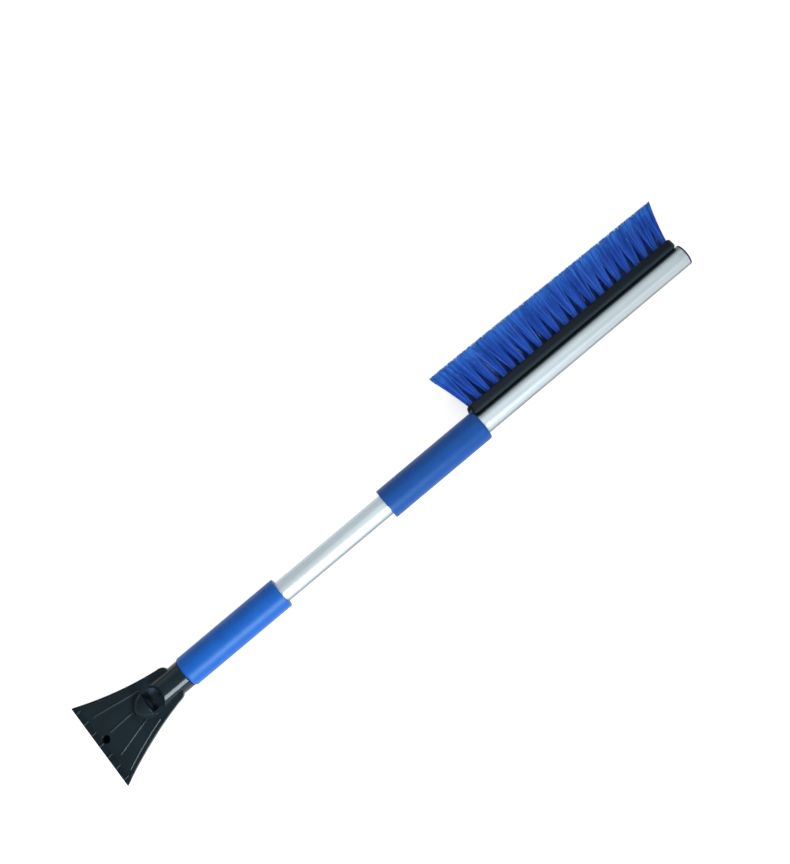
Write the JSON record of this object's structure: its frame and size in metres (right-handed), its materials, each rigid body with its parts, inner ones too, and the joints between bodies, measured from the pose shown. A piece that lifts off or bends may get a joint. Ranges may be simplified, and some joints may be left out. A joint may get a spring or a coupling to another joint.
{
  "type": "snow broom",
  "caption": "Snow broom with an ice scraper at one end of a straight tube and a long bristle brush at the other, with two foam grips.",
  "frame": {"origin": "middle of the box in X and Y, at the lowest point, where the two grips rest on a surface", "axes": "+X along the pole from the scraper to the brush, +Y the way the bristles point, +Z out of the scraper's front face"},
  "size_m": [0.7756, 0.119, 0.0333],
  "materials": {
    "aluminium_tube": "satin drawn tube",
    "blue_foam": "matt closed-cell foam",
    "scraper_plastic": "semi-gloss moulding",
    "block_plastic": "satin moulding",
    "cap_plastic": "smooth moulding",
    "blue_bristle": "soft filaments with flagged tips",
    "zinc_screw": "zinc plated"
  },
  "bodies": {
    "root": {"block_screw_1": "zinc_screw", "block_screw_2": "zinc_screw", "block_screw_3": "zinc_screw", "brush_block": "block_plastic", "end_cap": "cap_plastic", "lower_grip": "blue_foam", "pole_tube": "aluminium_tube", "scraper_head": "scraper_plastic", "scraper_screw": "zinc_screw", "tuft_back_01": "blue_bristle", "tuft_back_02": "blue_bristle", "tuft_back_03": "blue_bristle", "tuft_back_04": "blue_bristle", "tuft_back_05": "blue_bristle", "tuft_back_06": "blue_bristle", "tuft_back_07": "blue_bristle", "tuft_back_08": "blue_bristle", "tuft_back_09": "blue_bristle", "tuft_back_10": "blue_bristle", "tuft_back_11": "blue_bristle", "tuft_back_12": "blue_bristle", "tuft_back_13": "blue_bristle", "tuft_back_14": "blue_bristle", "tuft_back_15": "blue_bristle", "tuft_back_16": "blue_bristle", "tuft_back_17": "blue_bristle", "tuft_back_18": "blue_bristle", "tuft_back_19": "blue_bristle", "tuft_back_20": "blue_bristle", "tuft_back_21": "blue_bristle", "tuft_back_22": "blue_bristle", "tuft_front_01": "blue_bristle", "tuft_front_02": "blue_bristle", "tuft_front_03": "blue_bristle", "tuft_front_04": "blue_bristle", "tuft_front_05": "blue_bristle", "tuft_front_06": "blue_bristle", "tuft_front_07": "blue_bristle", "tuft_front_08": "blue_bristle", "tuft_front_09": "blue_bristle", "tuft_front_10": "blue_bristle", "tuft_front_11": "blue_bristle", "tuft_front_12": "blue_bristle", "tuft_front_13": "blue_bristle", "tuft_front_14": "blue_bristle", "tuft_front_15": "blue_bristle", "tuft_front_16": "blue_bristle", "tuft_front_17": "blue_bristle", "tuft_front_18": "blue_bristle", "tuft_front_19": "blue_bristle", "tuft_front_20": "blue_bristle", "tuft_front_21": "blue_bristle", "tuft_front_22": "blue_bristle", "tuft_front_23": "blue_bristle", "upper_grip": "blue_foam"}
  },
  "joints": []
}
